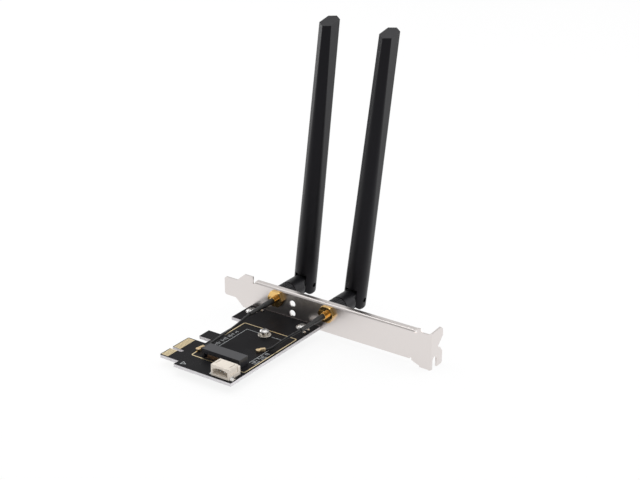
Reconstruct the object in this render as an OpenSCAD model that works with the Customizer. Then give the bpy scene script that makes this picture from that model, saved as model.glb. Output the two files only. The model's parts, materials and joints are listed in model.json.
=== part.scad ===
// Wireless network card for an expansion slot: a board with a module socket,
// a full-height bracket with two antenna jacks, two pigtails and two folding antennas.
// X runs up the card to the bracket's screw tab, Y runs out of the case and Z is the
// component side. The origin is on the contact edge, at the middle of the key notch
// and of the board's thickness.

/* [Board] */
// Thickness of the board
board_t = 1.57; // [1.2:0.01:2]
// Height of the board's far edge over the contact edge
board_top = 44.6; // [42:0.1:60]
// Reach of the board in front of the key notch
board_front = 12.2; // [11:0.1:20]
// Height of the main lower edge over the contact edge
main_edge = 10.2; // [8.5:0.1:12]
// Height of the lower edge in front of the contacts
front_edge = 11.4; // [8.5:0.1:14]
// Start of the retention hook behind the key notch
hook_start = 16.8; // [14.5:0.1:18]
// Width of the retention hook
hook_w = 7.3; // [5:0.1:10]
// Height of the hook over the contact edge
hook_edge = 3.2; // [2:0.1:6]
// Start of the rear foot behind the key notch
rear_foot = 41.9; // [38:0.1:44]
// Thickness of plated and printed layers
film_t = 0.05; // [0.03:0.01:0.1]

/* [Edge contacts] */
// Contacts on the short side of the key
short_count = 7; // [5:1:7]
// Contacts on the long side of the key
long_count = 11; // [8:1:11]
// Spacing of the contacts
contact_pitch = 1; // [0.9:0.01:1]
// Width of one contact
contact_w = 0.75; // [0.5:0.05:0.8]
// Length of the contacts
contact_len = 4.5; // [3.5:0.1:6]
// Width of the key notch
key_w = 1.9; // [1.7:0.05:2.1]
// Depth of the key notch
key_depth = 7; // [5:0.1:8]

/* [Bracket] */
// Thickness of the sheet
sheet_t = 0.86; // [0.7:0.01:1.2]
// Inner radius of the bends
bend_r = 0.3; // [0.2:0.05:0.4]
// Distance of the plate's inner face from the key notch
plate_y = 58.4; // [57:0.1:62]
// Length from the tab's outer face to the tongue's tip
bracket_len = 120.02; // [115:0.01:125]
// Height of the tab's seat over the contact edge
seat_x = 105.4; // [100:0.1:108]
// Height of the plate's lower flange under the board's middle
plate_low = 2.0; // [1.9:0.1:3]
// Width of the plate over its flanges
plate_w = 15.8; // [15:0.1:17]
// Depth of the long flanges
flange_d = 3.0; // [2:0.1:4]
// Width of the tongue
tongue_w = 9.7; // [8:0.1:10.5]
// Length of the tongue
tongue_len = 6.8; // [5:0.1:9]
// Depth of the screw tab
tab_d = 10.6; // [9:0.1:12]
// Width of the screw tab
tab_w = 18.6; // [17:0.1:20]
// Width of the tab's screw notch
notch_w = 3.9; // [3.6:0.1:4.5]
// Place of the screw notch behind the plate
notch_y = 3.9; // [3.7:0.1:4.3]
// Depth of the screw notch
notch_d = 6; // [5:0.1:7]
// Diameter of the two pilot holes
pilot_d = 3.3; // [2.5:0.1:3.6]
// Height of the pilot holes over the contact edge
pilot_x = 27.9; // [25:0.1:31]
// Distance between the pilot holes
pilot_gap = 5.1; // [4.5:0.1:6]

/* [Board screws] */
// Height of the first board screw over the contact edge
screw_x = 7.4; // [7:0.1:9]
// Distance between the board screws
screw_pitch = 30.4; // [28:0.1:31]
// Distance of the board screws from the plate
screw_back = 5.8; // [5:0.1:8]
// Thread diameter of the board screws
screw_d = 2.9; // [2.4:0.1:3]
// Head diameter of the board screws
screw_head_d = 5.2; // [4.8:0.1:6]
// Head height of the board screws
screw_head_h = 1.5; // [1.2:0.1:2]

/* [Antenna jacks] */
// Height of the first jack over the contact edge
jack_x = 18.6; // [17:0.1:20]
// Distance between the jacks
jack_pitch = 30; // [28:0.1:31]
// Clearance between the jacks' nuts and the bracket's upper flange
jack_gap = 0.15; // [0.1:0.05:0.4]
// Thread diameter of the jacks
thread_d = 6.35; // [6:0.01:6.6]
// Width over the flats of the hexagons
hex_w = 8; // [7.8:0.1:8.4]
// Thickness of the jack's hexagon
jack_hex_t = 2; // [1.5:0.1:3]
// Thickness of the jack's nut
nut_t = 1.8; // [1.5:0.1:2.2]
// Thickness of the lock washer
washer_t = 0.5; // [0.3:0.05:0.8]
// Length of the jack's thread
thread_len = 7.4; // [7:0.1:8.4]

/* [Module socket] */
// Height of the module's centre line over the contact edge
module_x = 28.4; // [27:0.1:30]
// Width of the socket
socket_w = 21.8; // [21:0.1:23]
// Depth of the socket
socket_d = 6.4; // [5.5:0.1:7.5]
// Height of the socket over the board
socket_h = 4.2; // [3.6:0.1:5]
// Place of the socket's back wall behind the key notch
socket_y = 1.2; // [0.8:0.1:2]
// Place of the module's screw behind the key notch
standoff_y = 35; // [33:0.1:37]
// Height of the standoff over the board
standoff_h = 2.4; // [2:0.1:3]

/* [Cable header] */
// Width of the header
header_w = 10.3; // [9.6:0.1:12]
// Depth of the header
header_d = 8.4; // [7.5:0.1:9]
// Height of the header
header_h = 5.6; // [4.8:0.1:6.5]
// Distance of the header from the board's far edge
header_in = 2; // [1.4:0.1:3]
// Distance of the header from the board's front edge
header_back = 1.4; // [0.8:0.1:2]
// Number of pins
pin_count = 4; // [2:1:4]
// Spacing of the pins
pin_pitch = 2; // [1.8:0.05:2]

/* [Pigtails] */
// Diameter of the coaxial leads
coax_d = 1.13; // [0.9:0.01:1.2]
// Length of the shrink sleeves
shrink_len = 18; // [16:0.5:18]
// Diameter of the shrink sleeves
shrink_d = 2.7; // [2.5:0.1:3.2]
// Diameter of the plugs' caps
cap_d = 2.4; // [2.2:0.1:3.1]

/* [Antennas] */
// Length of a blade from its hinge to its tip
blade_len = 138; // [100:0.2:180]
// Diameter of a blade at its hinge
blade_d = 11.3; // [10.8:0.1:12]
// Thickness of a blade at its tip
tip_t = 6.4; // [5.6:0.1:8]
// Width of the flat sides at the tip
tip_flat = 7.2; // [5:0.1:8]
// Slant of the tip
tip_slant = 12; // [0:1:20]
// Distance of the hinges behind the plate's inner face
hinge_back = 23.8; // [23.6:0.1:26]
// Diameter of the elbows and collars
elbow_d = 9.8; // [9.2:0.1:10.2]
// Width of the elbow's tongue
knuckle_w = 6.2; // [5.5:0.1:6.4]
// Diameter of the hinge bosses
boss_d = 2.4; // [2:0.1:3]
// Lean of the left antenna
left_lean = 5.9; // [0:0.1:7]
// Lean of the right antenna
right_lean = 7.1; // [0:0.1:8]
// Ribs around a collar
rib_count = 32; // [16:2:40]

/* [Hidden] */
$fn = 48;

// Clearances: running fits on the radius, seated pieces side by side, and a cutter's overrun
running = 0.05;
slip = 0.3;
over = 1;

// Board
half_t = board_t / 2;
board_rear = plate_y - bend_r;
block_margin = 0.65;
short_edge = -(key_w / 2 + short_count * contact_pitch + block_margin);
long_edge = key_w / 2 + long_count * contact_pitch + block_margin;
hook_end = hook_start + hook_w;
key_end_r = key_w / 2;
finger_gap = 0.5;

// Bracket
plate_out = plate_y + sheet_t;
plate_bottom = -plate_low;
plate_top = plate_bottom + plate_w;
bend_out = bend_r + sheet_t;
tab_out = seat_x + sheet_t;
tongue_tip = tab_out - bracket_len;
tongue_low = 2.2;
tongue_corner = 1.4;
shoulder_h = 2.3;
tongue_taper = 4.7;
lug_w = 5;
lug_step = 1.2;
lug_chamfer = 0.9;
body_start = tongue_tip + tongue_len + tongue_taper;
lug_start = body_start + lug_step;
lug_end = lug_start + lug_w;
flange_start = lug_end + lug_step;
bare_end = 5;
flange_end = seat_x - bare_end;
flange_stop = 3;
low_flange_stop = 6;
low_horn = 1.9;
low_horn_w = 2;
high_horn = 1.4;
horn_start = 4.4;
horn_tip = 1.8;
tab_low = tab_w - plate_w - 0.1;
tab_inset = 0.3;
pilot_z = 3.1;
relief = 1;
ear_w = 8;
screw_y = plate_y - screw_back;
screw_xs = [screw_x, screw_x + screw_pitch];
ear_margin = 0.6;
ear_front = screw_back + screw_head_d / 2 + ear_margin;
screw_hole_d = screw_d + 0.3;
land_margin = 0.45;
land_d = screw_head_d + 2 * land_margin;

// Jacks: the thread ends inside the collar, and the hexagon bears on the plate's inner face
jack_xs = [jack_x, jack_x + jack_pitch];
jack_z = plate_top - sheet_t - jack_gap - hex_w / 2;
washer_d = hex_w + 2 * (jack_gap - bend_r - running);
leans = [left_lean, right_lean];
hex_y = plate_y - jack_hex_t;
neck_len = 2.2;
neck_y = hex_y - neck_len;
neck_d = 3.4;
bore_y = hex_y + 0.5;
ferrule_len = 5.2;
ferrule_y = neck_y - ferrule_len;
ferrule_d = 2.1;
thread_end = plate_out + thread_len;
mouth_d = 4.6;
mouth_depth = 2.2;
insulator_d = 4.1;
contact_d = 1.27;
nut_y = plate_out + washer_t;
collar_y = nut_y + nut_t + slip;
plate_hole_d = thread_d + 0.15;

// Antenna: the coupling nut holds the plug by its lip, and the elbow turns on the plug's stem
plug_flange_d = 6;
plug_flange_t = 0.5;
flange_y = thread_end + running;
lip_y = flange_y + plug_flange_t + running;
lip_t = 0.4;
collar_end = lip_y + lip_t;
elbow_gap = 0.3;
elbow_y = collar_end + elbow_gap;
hinge_y = plate_y + hinge_back;
cheek_r = 5.2;
foot_r = 1.6;
shoulder_gap = 0.5;
shoulder_y = hinge_y - cheek_r - shoulder_gap;
stem_d = 5;
bead_d = 5.8;
stem_end = elbow_y + 5;
slot_w = knuckle_w + 2 * 0.2;
slot_top = 6;
base_h = 12;
boss_reach = blade_d / 2 - 1;
blade_wall = 1.5;
tip_r = blade_d / 2;
radiator_l = blade_len * 0.62;
radiator_z = base_h + 12;
radiator_w = 4.6;
radiator_t = 0.8;
feed_d = 1.13;

// Module socket
socket_x = module_x - socket_w / 2;
tail_pitch = 0.5;
tail_count = 36;
tail_w = 0.22;
mouth_h = 1.3;
mouth_z = half_t + 1.3;
cheek = 1;
foot_y = socket_y + 1.4;
lower_lip_y = socket_y + socket_d - 1.6;
key_x = socket_w * 0.7;
key_rib = 1.2;
standoff_hole_d = 3;
standoff_base_d = 6.4;
standoff_base_t = 0.6;
standoff_d = 3.6;
module_screw_d = 2;
module_head_d = 4.6;
module_head_h = 0.9;

// Films on the board: the plated band, and the module's printed outline
trace_x = main_edge + 2;
trace_top = board_top - 1;
trace_front = -0.7;
trace_rear = 40.6;
trace_w = 0.5;
trace_r = 1.2;
module_w = 22;
print_w = 0.22;
module_end = standoff_y + 0.6;
mark_x = front_edge + 3.2;
mark_y = -board_front + 3;
mark_r = 1.7;
mark_line = 0.6;

// Chips: place and turn of each, two beside the upper screw's land and one beside the lower one
chip_w = 1;
chip_l = 1.6;
chip_h = 0.7;
chip_x = board_top - 2.2;
chip_places = [
    [chip_x, screw_y - land_d / 2 + chip_l, 0], [chip_x, screw_y - land_d / 2 - chip_l, 0],
    [screw_x + land_d / 2 + chip_w, screw_y + land_d / 2, 90]
];

// Cable header
header_x = board_top - header_in - header_w;
header_y = -board_front + header_back;
header_wall = 0.9;
header_roof = 1;
header_floor = 1.1;
arch_side = 3.5;
arch_rise = 0.9;
roof_slot_w = 0.4;
roof_slot_y = 1.9;
roof_slot_l = 3.9;
side_window = 0.35;
rear_step = 1.6;
rear_step_h = 1.4;
rear_wall = 2.2;
pin_t = 0.5;
pin_z = half_t + 2.3;
pin_foot = 1.2;
pin_foot_t = 0.3;
pin_tip = 1.8;

// Pigtail routes: hand-chosen points from the ferrule's mouth to the micro plug
left_route = [
    [18.6, 49, 8.8], [18.6, 46.4, 8.8], [18.6, 43.8, 8.8], [18.6, 41.2, 8.8], [18.6, 38.6, 8.8],
    [18.6, 36, 8.8], [18.4, 33.6, 8.3], [18, 31, 7.4], [17.4, 28, 6.3], [17, 26, 5.7], [16.6, 24, 5.1],
    [15.8, 20, 4.1], [15, 16, 3.1], [14.2, 12.4, 2.2], [13.6, 9.8, 1.6], [13.2, 8, 1.6]
];
right_route = [
    [48.6, 49, 8.8], [48.6, 46.4, 8.8], [48.6, 43.8, 8.8], [48.6, 41.2, 8.8], [48.6, 38.6, 8.8],
    [48.6, 36, 8.8], [48.2, 34.9, 8.6], [47.4, 33.4, 8.1], [46.4, 31.8, 7.3], [44.8, 29.8, 6],
    [43.2, 27.8, 4.6], [41.8, 26.2, 3.2], [40.6, 24.8, 2.1], [39.6, 23.6, 1.6], [38.4, 22.2, 1.6]
];
cap_r = cap_d / 2;
tail_l = 2.6;
plug_h = 1.15;
plug_z = half_t + film_t;

// A round rod along Y
module rod(d, y0, y1) {
    translate([0, y0, 0])
        rotate([-90, 0, 0])
            cylinder(d = d, h = y1 - y0);
}

// A hexagon along Y with a flat uppermost and its corners turned off
module hexagon(y0, y1) {
    corner_d = hex_w / cos(30);
    intersection() {
        translate([0, y0, 0])
            rotate([-90, 0, 0])
                cylinder(d = corner_d, h = y1 - y0, $fn = 6);
        translate([0, y0, 0])
            rotate([-90, 0, 0])
                cylinder(d1 = corner_d, d2 = hex_w, h = (y1 - y0) * 2);
        translate([0, 2 * y0 - y1, 0])
            rotate([-90, 0, 0])
                cylinder(d1 = hex_w, d2 = corner_d, h = (y1 - y0) * 2);
    }
}

// A square with all four corners rounded
module rounded_plate(w, d, r, h) {
    linear_extrude(h)
        union() {
            translate([r, 0])
                square([w - 2 * r, d]);
            translate([0, r])
                square([w, d - 2 * r]);
            for (x = [r, w - r], y = [r, d - r])
                translate([x, y])
                    circle(r);
        }
}

module at_jack(i) {
    translate([jack_xs[i], 0, jack_z])
        children();
}

module at_elbow(i) {
    at_jack(i)
        rotate([0, leans[i], 0])
            children();
}

module at_hinge(i) {
    at_elbow(i)
        translate([0, hinge_y, 0])
            children();
}

// Board with its contact block, key notch, retention hook and rear foot
module board_outline() {
    difference() {
        polygon([
            [0, short_edge + finger_gap], [finger_gap, short_edge], [front_edge, short_edge],
            [front_edge, -board_front], [board_top, -board_front], [board_top, board_rear],
            [hook_edge, board_rear], [hook_edge, rear_foot], [main_edge, rear_foot],
            [main_edge, hook_end], [hook_edge, hook_end], [hook_edge, hook_start],
            [main_edge, hook_start], [main_edge, long_edge], [finger_gap, long_edge],
            [0, long_edge - finger_gap]
        ]);
        translate([-over, -key_w / 2])
            square([key_depth - key_end_r + over, key_w]);
        translate([key_depth - key_end_r, 0])
            circle(key_end_r);
        for (x = screw_xs)
            translate([x, screw_y])
                circle(d = screw_hole_d);
        translate([module_x, standoff_y])
            circle(d = standoff_hole_d);
    }
}

module pcb() {
    color([0.09, 0.09, 0.1])
        translate([0, 0, -half_t])
            linear_extrude(board_t)
                board_outline();
}

function contact_y(i) = i < short_count
    ? -key_w / 2 - (i + 0.5) * contact_pitch - 0.05
    : key_w / 2 + (i - short_count + 0.5) * contact_pitch + 0.05;

module edge_contacts() {
    color([0.85, 0.68, 0.35])
        for (z = [half_t, -half_t - film_t], i = [0 : short_count + long_count - 1])
            translate([finger_gap, contact_y(i) - contact_w / 2, z])
                cube([contact_len - finger_gap, contact_w, film_t]);
}

// Bare plated band round the module's place
module ground_trace() {
    color([0.86, 0.66, 0.36])
        translate([trace_x, trace_front, half_t])
            difference() {
                rounded_plate(trace_top - trace_x, trace_rear - trace_front, trace_r, film_t);
                translate([trace_w, trace_w, -over])
                    rounded_plate(trace_top - trace_x - 2 * trace_w, trace_rear - trace_front - 2 * trace_w,
                                  trace_r - trace_w, film_t + 2 * over);
            }
}

// Printed outline of the module, and a plain triangle by the contacts
module board_print() {
    color([0.75, 0.77, 0.78])
        translate([0, 0, half_t]) {
            difference() {
                translate([module_x - module_w / 2, socket_y + socket_d + 1, 0])
                    cube([module_w, module_end - socket_y - socket_d - 1, film_t]);
                translate([module_x - module_w / 2 + print_w, socket_y + socket_d, -over])
                    cube([module_w - 2 * print_w, module_end - socket_y - socket_d - print_w, film_t + 2 * over]);
                translate([module_x, standoff_y, -over])
                    cylinder(d = 7.2, h = film_t + 2 * over);
            }
            translate([mark_x, mark_y, 0])
                difference() {
                    cylinder(r = mark_r, h = film_t, $fn = 3);
                    translate([0, 0, -over])
                        cylinder(r = mark_r - mark_line, h = film_t + 2 * over, $fn = 3);
                }
        }
}

// Plated lands under the screw heads
module screw_lands() {
    color([0.8, 0.8, 0.78])
        for (x = screw_xs)
            translate([x, screw_y, half_t])
                difference() {
                    cylinder(d = land_d, h = film_t);
                    translate([0, 0, -over])
                        cylinder(d = screw_hole_d, h = film_t + 2 * over);
                }
}

// Flat plate of the bracket: tongue, shoulders, body and the stretch beside the tab
module plate_outline() {
    body_low = plate_bottom + bend_out;
    body_high = plate_top - bend_out;
    union() {
        polygon([
            [tongue_tip + tongue_corner, tongue_low], [tongue_tip + tongue_len, tongue_low],
            [body_start, plate_bottom], [lug_end, plate_bottom], [lug_end, plate_top + shoulder_h],
            [lug_start, plate_top + shoulder_h], [body_start, plate_top + shoulder_h - lug_chamfer],
            [tongue_tip + tongue_len + 1, tongue_low + tongue_w],
            [tongue_tip + tongue_corner, tongue_low + tongue_w],
            [tongue_tip, tongue_low + tongue_w - tongue_corner], [tongue_tip, tongue_low + tongue_corner]
        ]);
        translate([tongue_tip + tongue_corner, tongue_low + tongue_corner])
            circle(tongue_corner);
        translate([tongue_tip + tongue_corner, tongue_low + tongue_w - tongue_corner])
            circle(tongue_corner);
        translate([lug_end - over, body_low])
            square([flange_end - lug_end + 2 * over, body_high - body_low]);
        polygon([
            [flange_end + relief, plate_top], [flange_end + relief, plate_bottom - low_horn],
            [flange_end + relief - low_horn_w, plate_bottom - high_horn],
            [flange_end - horn_start, plate_bottom], [flange_end - horn_start, body_low + over],
            [flange_end - horn_tip, body_high - over], [flange_end - horn_tip, plate_top + high_horn],
            [flange_end + 0.2, plate_top + high_horn]
        ]);
        translate([flange_end, plate_bottom - tab_low + tab_inset])
            square([seat_x - bend_r - flange_end, tab_w - 2 * tab_inset]);
    }
}

// Quarter bend and leg of a flange along X: it turns outwards from the plate
module long_flange(x0, x1) {
    translate([x0, 0, 0])
        rotate([90, 0, 90])
            linear_extrude(x1 - x0)
                union() {
                    intersection() {
                        difference() {
                            translate([plate_out + bend_r, 0])
                                circle(bend_out);
                            translate([plate_out + bend_r, 0])
                                circle(bend_r);
                        }
                        translate([plate_y, 0])
                            square([bend_out, bend_out]);
                    }
                    translate([plate_out + bend_r, bend_r])
                        square([flange_d - bend_out, sheet_t]);
                }
}

// Ear that turns in under the board, with its tapped screw hole
module board_ear(x) {
    translate([x - ear_w / 2, 0, -half_t + bend_r])
        rotate([90, 0, 90])
            linear_extrude(ear_w)
                union() {
                    intersection() {
                        difference() {
                            translate([plate_y - bend_r, 0])
                                circle(bend_out);
                            translate([plate_y - bend_r, 0])
                                circle(bend_r);
                        }
                        translate([plate_y - bend_r, -bend_out])
                            square([bend_out, bend_out]);
                    }
                    translate([plate_y - ear_front, -bend_out])
                        square([ear_front - bend_r, sheet_t]);
                    translate([plate_y, 0])
                        square([sheet_t, bend_out + over]);
                }
}

// Screw tab: its edge has the fork of the screw notch, the hook beside it and a finger horn
module tab_outline() {
    low = plate_bottom - tab_low;
    high = low + tab_w;
    y0 = plate_out + bend_r;
    back = plate_y + tab_d;
    notch = plate_y + notch_y;
    difference() {
        polygon([
            [y0, low], [back - 0.6, low], [back, low + 0.9], [back, low + 6.3],
            [back - 2, low + 8.9], [back - 4.2, low + 10], [back + 0.3, low + 14.4],
            [back, low + tab_w - 0.8], [back - 1.6, high + 0.5], [y0, high]
        ]);
        translate([notch - notch_w / 2, low - over])
            square([notch_w, notch_d - notch_w / 2 + over]);
        translate([notch, low + notch_d - notch_w / 2])
            circle(d = notch_w);
    }
}

module bracket() {
    ear_gap = ear_w / 2 + relief;
    low_runs = [
        [screw_xs[0] + ear_gap, screw_xs[1] - ear_gap],
        [screw_xs[1] + ear_gap, flange_end - low_flange_stop]
    ];
    color([0.78, 0.76, 0.74])
        difference() {
            union() {
                translate([0, plate_out, 0])
                    rotate([90, 0, 0])
                        linear_extrude(sheet_t)
                            difference() {
                                plate_outline();
                                for (x = screw_xs)
                                    translate([x - ear_gap, plate_bottom - over])
                                        square([2 * ear_gap, bend_out + over]);
                            }
                translate([0, 0, plate_top - bend_out])
                    long_flange(flange_start, flange_end - flange_stop);
                for (run = low_runs)
                    translate([0, 0, plate_bottom + bend_out])
                        mirror([0, 0, 1])
                            long_flange(run[0], run[1]);
                for (x = screw_xs)
                    board_ear(x);
                intersection() {
                    translate([seat_x - bend_r, plate_out + bend_r, plate_bottom - tab_low])
                        difference() {
                            cylinder(r = bend_out, h = tab_w);
                            translate([0, 0, -over])
                                cylinder(r = bend_r, h = tab_w + 2 * over);
                        }
                    translate([seat_x - bend_r, plate_y, plate_bottom - tab_low])
                        cube([bend_out, bend_out, tab_w]);
                }
                translate([seat_x, 0, 0])
                    rotate([90, 0, 90])
                        linear_extrude(sheet_t)
                            tab_outline();
            }
            for (x = jack_xs)
                translate([x, 0, jack_z])
                    rod(plate_hole_d, plate_y - over, plate_out + over);
            for (dz = [0, pilot_gap])
                translate([pilot_x, 0, pilot_z + dz])
                    rod(pilot_d, plate_y - over, plate_out + over);
            for (x = screw_xs)
                translate([x, screw_y, -half_t - sheet_t - over])
                    cylinder(d = screw_d + 2 * running, h = sheet_t + 2 * over);
        }
}

// Pan head with a cross recess, on a shank that ends under the ear
module pan_screw(head_d, head_h, shank_d, shank_len) {
    recess_w = head_d * 0.16;
    difference() {
        union() {
            translate([0, 0, -shank_len])
                cylinder(d = shank_d, h = shank_len);
            rotate_extrude()
                intersection() {
                    translate([0, -head_d * 0.55 + head_h * 0.55])
                        circle(head_d * 0.68);
                    square([head_d / 2, head_h]);
                }
        }
        for (turn = [0, 90])
            rotate([0, 0, turn + 30])
                translate([-head_d * 0.28, -recess_w / 2, head_h * 0.45])
                    cube([head_d * 0.56, recess_w, head_h]);
    }
}

module board_screws() {
    color([0.8, 0.79, 0.77])
        for (x = screw_xs)
            translate([x, screw_y, half_t + film_t])
                pan_screw(screw_head_d, screw_head_h, screw_d, board_t + film_t + sheet_t);
}

// Module socket: a roof over a keyed mouth, end cheeks and a raised back foot
module m2_socket() {
    color([0.2, 0.2, 0.22])
        difference() {
            translate([socket_x, socket_y, half_t])
                cube([socket_w, socket_d, socket_h]);
            translate([socket_x + cheek, socket_y + 2, mouth_z])
                cube([key_x - cheek, socket_d, mouth_h]);
            translate([socket_x + key_x + key_rib, socket_y + 2, mouth_z])
                cube([socket_w - cheek - key_x - key_rib, socket_d, mouth_h]);
            translate([socket_x + cheek, lower_lip_y, half_t - over])
                cube([socket_w - 2 * cheek, 2.6, mouth_z - half_t + over + 0.1]);
            translate([socket_x + cheek, socket_y - over, half_t - over])
                cube([socket_w - 2 * cheek, foot_y - socket_y + over, 2 + over]);
        }
}

// Two rows of bent contacts whose tails lie on the board, with none at the key rib
module socket_contact(x, back_row) {
    y = back_row ? foot_y : lower_lip_y;
    translate([x - tail_w / 2, y, half_t])
        mirror([0, back_row ? 1 : 0, 0])
            rotate([90, 0, 90])
                linear_extrude(tail_w)
                    polygon([[0, 0], [1.5, 0], [1.5, 0.2], [0.2, 0.2], [0.2, 1.2], [0, 1.2]]);
}

module m2_socket_contacts() {
    first = module_x - tail_pitch * (tail_count - 1) / 2;
    rib_start = socket_x + key_x - tail_pitch;
    rib_end = rib_start + key_rib + 2 * tail_pitch;
    color([0.72, 0.6, 0.45])
        for (i = [0 : tail_count - 1])
            let (x = first + i * tail_pitch)
                if (x < rib_start || x > rib_end) {
                    socket_contact(x, true);
                    socket_contact(x, false);
                }
}

module m2_standoff() {
    color([0.8, 0.76, 0.62])
        translate([module_x, standoff_y, 0])
            difference() {
                union() {
                    translate([0, 0, -half_t])
                        cylinder(d = standoff_hole_d - 2 * running, h = board_t);
                    translate([0, 0, half_t])
                        cylinder(d = standoff_base_d, h = standoff_base_t);
                    translate([0, 0, half_t])
                        cylinder(d = standoff_d, h = standoff_h);
                }
                translate([0, 0, -half_t - over])
                    cylinder(d = module_screw_d + 2 * running, h = board_t + standoff_h + 2 * over);
            }
}

module m2_screw() {
    color([0.82, 0.81, 0.79])
        translate([module_x, standoff_y, half_t + standoff_h])
            pan_screw(module_head_d, module_head_h, module_screw_d, standoff_h);
}

// Near side of each pin, from the header's lower end
function pin_x(i) = header_w / 2 + (i - (pin_count - 1) / 2) * pin_pitch - pin_t / 2;

// Side-entry cable header: an open front under an arched roof edge, two roof slots,
// a window in each side wall and a step at the back
module cable_header() {
    inner_w = header_w - 2 * header_wall;
    arch_r = (inner_w * inner_w / 4 + arch_rise * arch_rise) / (2 * arch_rise);
    inner_d = header_d - rear_wall;
    window_z = header_floor + header_roof;
    color([0.9, 0.87, 0.8])
        translate([header_x, header_y, half_t])
            difference() {
                cube([header_w, header_d, header_h]);
                intersection() {
                    translate([header_wall, -over, header_floor])
                        cube([inner_w, inner_d + over, header_h - header_floor - header_roof]);
                    translate([header_w / 2, 0, arch_side + arch_rise - arch_r])
                        rod(2 * arch_r, -2 * over, header_d);
                }
                for (x = [header_wall, header_w - header_wall - roof_slot_w])
                    translate([x, roof_slot_y, header_floor + over])
                        cube([roof_slot_w, roof_slot_l, header_h]);
                for (x = [-over, header_w - side_window])
                    translate([x, header_wall, window_z])
                        cube([side_window + over, header_d - header_wall - rear_step,
                              header_h - header_roof - window_z]);
                translate([-over, header_d - rear_step, header_h - rear_step_h])
                    cube([header_w + 2 * over, rear_step + over, rear_step_h + over]);
                for (i = [0 : pin_count - 1])
                    translate([pin_x(i), inner_d - over, pin_z - half_t - pin_t / 2])
                        cube([pin_t, rear_wall + 2 * over, pin_t]);
            }
}

// Bent pins: a straight blade in the cavity, a drop behind the housing and a foot on the board
module header_pins() {
    rear = header_y + header_d;
    tip = header_y + pin_tip;
    color([0.82, 0.8, 0.76])
        for (i = [0 : pin_count - 1])
            translate([header_x + pin_x(i), 0, 0])
                rotate([90, 0, 90])
                    linear_extrude(pin_t)
                        polygon([
                            [tip, pin_z - pin_t / 2], [rear, pin_z - pin_t / 2], [rear, half_t],
                            [rear + pin_foot, half_t], [rear + pin_foot, half_t + pin_foot_t],
                            [rear + pin_t, half_t + pin_foot_t], [rear + pin_t, pin_z + pin_t / 2],
                            [tip, pin_z + pin_t / 2]
                        ]);
}

// Solder tabs that hold the header's front corners to the board
module header_tabs() {
    color([0.82, 0.82, 0.8])
        for (side = [0, 1])
            translate([header_x + side * header_w, header_y + 0.4, half_t])
                mirror([1 - side, 0, 0]) {
                    cube([1.5, 2.6, 0.25]);
                    cube([0.25, 2.6, 1.4]);
                }
}

module chip_capacitors() {
    color([0.72, 0.66, 0.56])
        for (place = chip_places)
            translate([place[0], place[1], half_t])
                rotate([0, 0, place[2]])
                    translate([-chip_w / 2, -chip_l / 2, 0])
                        cube([chip_w, chip_l, chip_h]);
}

// Bulkhead jack: threaded barrel, hexagon, neck and crimp ferrule, bored right through
module jack(i) {
    color([0.85, 0.65, 0.28])
        at_jack(i)
            difference() {
                union() {
                    rod(thread_d, plate_y - 0.1, thread_end);
                    hexagon(hex_y, plate_y);
                    rod(neck_d, neck_y, hex_y + 0.1);
                    rod(ferrule_d, ferrule_y, neck_y + 0.1);
                }
                rod(insulator_d, bore_y, thread_end + over);
                rod(mouth_d, thread_end - mouth_depth, thread_end + over);
                rod(1, ferrule_y - over, bore_y + over);
            }
}

module jack_insulator(i) {
    color([0.93, 0.93, 0.9])
        at_jack(i)
            difference() {
                rod(insulator_d, bore_y, thread_end - mouth_depth);
                rod(contact_d, bore_y - over, thread_end);
            }
}

module jack_contact(i) {
    color([0.88, 0.7, 0.3])
        at_jack(i)
            difference() {
                rod(contact_d, bore_y, thread_end - mouth_depth);
                rod(0.95, thread_end - mouth_depth - 3, thread_end);
            }
}

// Shrink sleeve over the ferrule, necked down onto the coaxial lead
module shrink(i) {
    end_y = neck_y - shrink_len;
    color([0.08, 0.08, 0.09])
        at_jack(i)
            difference() {
                union() {
                    rod(shrink_d, ferrule_y - 1, neck_y);
                    translate([0, ferrule_y - 3, 0])
                        rotate([-90, 0, 0])
                            cylinder(d1 = coax_d + 0.9, d2 = shrink_d, h = 2);
                    rod(coax_d + 0.9, end_y, ferrule_y - 3);
                }
                rod(ferrule_d, ferrule_y, neck_y + over);
                rod(coax_d + 2 * running, end_y - over, ferrule_y + over);
            }
}

// Round lead swept along a route: each ring stands square to the mean of its neighbours
function unit(v) = v / norm(v);
function heading(route, i) =
    unit(route[min(i + 1, len(route) - 1)] - route[max(i - 1, 0)]);
function ring(route, i, r, sides) =
    let (
        along = heading(route, i),
        across = unit(cross(along, [0, 0, 1])),
        up = cross(across, along)
    )
    [for (k = [0 : sides - 1])
        route[i] + r * (cos(360 * k / sides) * across + sin(360 * k / sides) * up)];

module lead(route) {
    sides = 8;
    count = len(route);
    points = [for (i = [0 : count - 1]) each ring(route, i, coax_d / 2, sides)];
    skin = [for (i = [0 : count - 2], k = [0 : sides - 1])
        [i * sides + k, i * sides + (k + 1) % sides,
         (i + 1) * sides + (k + 1) % sides, (i + 1) * sides + k]];
    first = [[for (k = [sides - 1 : -1 : 0]) k]];
    last = [[for (k = [0 : sides - 1]) (count - 1) * sides + k]];
    color([0.1, 0.1, 0.11])
        polyhedron(points, concat(skin, first, last));
}

// Micro plug: a round cap with a crimped tail that takes the end of the lead
module micro_plug(route) {
    end = route[len(route) - 1];
    along = heading(route, len(route) - 1);
    turn = atan2(-along[1], -along[0]);
    color([0.85, 0.66, 0.3])
        translate([end[0], end[1], plug_z])
            rotate([0, 0, turn])
                difference() {
                    union() {
                        translate([-tail_l - cap_r + 0.4, 0, 0])
                            cylinder(r = cap_r, h = plug_h);
                        translate([-tail_l, -0.75, 0])
                            cube([tail_l, 1.5, 1.5]);
                    }
                    translate([-tail_l - cap_r + 0.4, 0, -over])
                        cylinder(r = cap_r - 0.3, h = plug_h - 0.25 + over);
                }
}

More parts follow.
